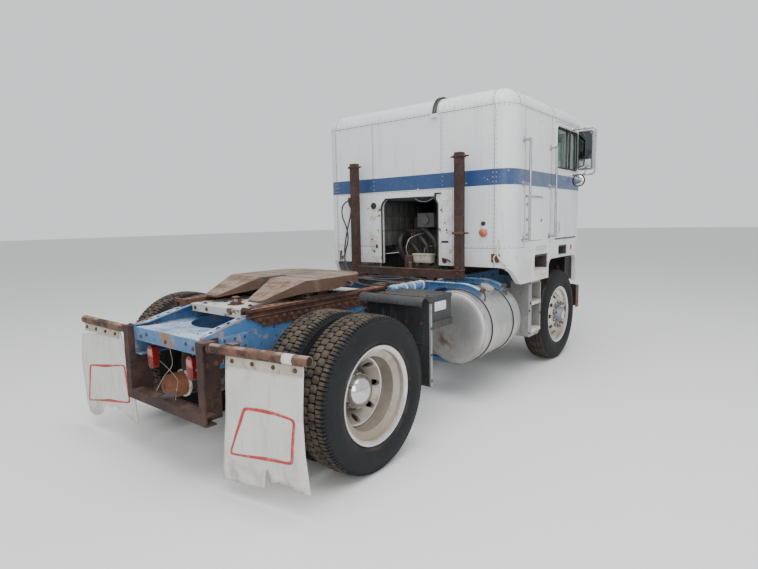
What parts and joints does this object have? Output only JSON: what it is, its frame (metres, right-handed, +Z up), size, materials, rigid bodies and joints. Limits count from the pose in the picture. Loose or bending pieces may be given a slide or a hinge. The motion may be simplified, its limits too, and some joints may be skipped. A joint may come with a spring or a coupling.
{
  "type": "cab-over semi truck tractor unit",
  "caption": "Cab-over semi truck tractor with sleeper, single drive axle and sliding fifth wheel; doors, cab tilt, steering and wheels move.",
  "frame": {"origin": "on the ground under the middle of the truck's length and width", "axes": "+Z up, +Y towards the truck's rear, +X towards its left side"},
  "size_m": [2.898, 5.145, 2.918],
  "materials": {
    "cab_paint": "satin",
    "cab_inside": "matte",
    "frame_paint": "matte",
    "rusty_steel": "rough",
    "fifth_wheel_steel": "matte",
    "dark_steel": "matte",
    "tank_aluminium": "brushed",
    "grey_aluminium": "matte",
    "wheel_aluminium": "polished",
    "bright_metal": "polished",
    "black_plastic": "matte",
    "flap_rubber": "matte",
    "hose_rubber": "matte",
    "tyre_rubber": "matte",
    "window_glass": "clear",
    "lamp_red": "gloss",
    "lamp_amber": "gloss",
    "seat_fabric": "woven"
  },
  "bodies": {
    "chassis": {"frame_rails": "frame_paint", "crossmembers": "frame_paint", "tail_frame": "rusty_steel", "mud_flaps": "flap_rubber", "bumper": "rusty_steel", "trailer_hoses": "hose_rubber", "front_axle": "dark_steel", "rear_axle": "dark_steel", "leaf_springs": "dark_steel", "engine": "dark_steel", "radiator": "dark_steel", "driveshaft": "dark_steel", "steering_gear": "frame_paint", "fuel_tanks": "tank_aluminium", "tank_brackets": "frame_paint", "battery_box": "black_plastic", "rear_fenders": "black_plastic", "cab_steps": "grey_aluminium", "stack_posts": "rusty_steel", "air_tanks": "frame_paint", "slide_rails": "rusty_steel", "tail_lamps": "lamp_red"},
    "cab": {"cab_roof": "cab_paint", "cab_back": "cab_paint", "cab_sides": "cab_paint", "cab_front": "cab_paint", "cab_floor": "cab_inside", "windshield": "window_glass", "grille": "grey_aluminium", "headlamps": "window_glass", "marker_lamps": "lamp_amber", "grab_rails": "bright_metal", "seats": "seat_fabric", "bunk": "seat_fabric", "dashboard": "cab_inside", "roof_hoses": "hose_rubber", "arch_liners": "black_plastic"},
    "fifth_wheel_carriage": {"fifth_wheel_carriage": "rusty_steel"},
    "fifth_wheel_plate": {"fifth_wheel_plate": "fifth_wheel_steel"},
    "knuckle_left": {"knuckle_left": "dark_steel"},
    "knuckle_right": {"knuckle_right": "dark_steel"},
    "tie_rod": {"tie_rod": "dark_steel"},
    "pitman_arm": {"pitman_arm": "dark_steel"},
    "drag_link": {"drag_link": "dark_steel"},
    "door_left": {"door_left": "cab_paint", "door_glass_left": "window_glass", "mirror_left": "bright_metal"},
    "hatch_left": {"hatch_left": "cab_paint"},
    "front_wheel_left": {"front_tyre_left": "tyre_rubber", "front_wheel_left": "wheel_aluminium"},
    "rear_wheels_left": {"rear_tyres_left": "tyre_rubber", "rear_wheels_left": "wheel_aluminium"},
    "door_right": {"door_right": "cab_paint", "door_glass_right": "window_glass", "mirror_right": "bright_metal"},
    "hatch_right": {"hatch_right": "cab_paint"},
    "front_wheel_right": {"front_tyre_right": "tyre_rubber", "front_wheel_right": "wheel_aluminium"},
    "rear_wheels_right": {"rear_tyres_right": "tyre_rubber", "rear_wheels_right": "wheel_aluminium"}
  },
  "joints": [
    {"name": "steer_left", "type": "hinge", "parent": "chassis", "child": "knuckle_left", "pos_m": [0.885, -1.7725, 0.528], "axis": [0, 0, 1], "range_deg": [-32, 32]},
    {"name": "roll_front_left", "type": "hinge", "parent": "knuckle_left", "child": "front_wheel_left", "pos_m": [1.0035, -1.7725, 0.528], "axis": [1, 0, 0], "continuous": true},
    {"name": "roll_rear_left", "type": "hinge", "parent": "chassis", "child": "rear_wheels_left", "pos_m": [0.902, 1.7325, 0.528], "axis": [1, 0, 0], "continuous": true},
    {"name": "door_left_swing", "type": "hinge", "parent": "cab", "child": "door_left", "pos_m": [1.1835, -2.1165, 2], "axis": [0, 0, -1], "range_deg": [0, 65]},
    {"name": "hatch_left_swing", "type": "hinge", "parent": "cab", "child": "hatch_left", "pos_m": [1.1835, -0.6025, 1.66], "axis": [0, 0, 1], "range_deg": [0, 85]},
    {"name": "steer_right", "type": "hinge", "parent": "chassis", "child": "knuckle_right", "pos_m": [-0.885, -1.7725, 0.528], "axis": [0, 0, 1], "range_deg": [-32, 32]},
    {"name": "roll_front_right", "type": "hinge", "parent": "knuckle_right", "child": "front_wheel_right", "pos_m": [-1.0035, -1.7725, 0.528], "axis": [1, 0, 0], "continuous": true},
    {"name": "roll_rear_right", "type": "hinge", "parent": "chassis", "child": "rear_wheels_right", "pos_m": [-0.902, 1.7325, 0.528], "axis": [1, 0, 0], "continuous": true},
    {"name": "door_right_swing", "type": "hinge", "parent": "cab", "child": "door_right", "pos_m": [-1.1835, -2.1165, 2], "axis": [0, 0, 1], "range_deg": [0, 65]},
    {"name": "hatch_right_swing", "type": "hinge", "parent": "cab", "child": "hatch_right", "pos_m": [-1.1835, -0.6025, 1.66], "axis": [0, 0, -1], "range_deg": [0, 85]},
    {"name": "tie_rod_pivot", "type": "hinge", "parent": "knuckle_left", "child": "tie_rod", "pos_m": [0.885, -1.5725, 0.388], "axis": [0, 0, 1], "range_deg": [-32, 32]},
    {"name": "pitman_swing", "type": "hinge", "parent": "chassis", "child": "pitman_arm", "pos_m": [0.62, -2.1525, 0.93], "axis": [1, 0, 0], "range_deg": [-32, 32]},
    {"name": "drag_link_pivot", "type": "hinge", "parent": "pitman_arm", "child": "drag_link", "pos_m": [0.62, -2.1525, 0.665], "axis": [1, 0, 0], "range_deg": [-32, 32]},
    {"name": "cab_tilt", "type": "hinge", "parent": "chassis", "child": "cab", "pos_m": [0, -2.3425, 0.93], "axis": [1, 0, 0], "range_deg": [0, 55]},
    {"name": "fifth_wheel_slide", "type": "slide", "parent": "chassis", "child": "fifth_wheel_carriage", "axis": [0, 1, 0], "range_m": [-0.3, 0.2]},
    {"name": "fifth_wheel_tilt", "type": "hinge", "parent": "fifth_wheel_carriage", "child": "fifth_wheel_plate", "pos_m": [0, 1.4725, 1.15], "axis": [1, 0, 0], "range_deg": [-2, 8]}
  ],
  "couplings": [
    {"joint": "steer_right", "follows": "steer_left", "ratio": 1},
    {"joint": "tie_rod_pivot", "follows": "steer_left", "ratio": -1},
    {"joint": "pitman_swing", "follows": "steer_left", "ratio": -1},
    {"joint": "drag_link_pivot", "follows": "steer_left", "ratio": 1}
  ]
}
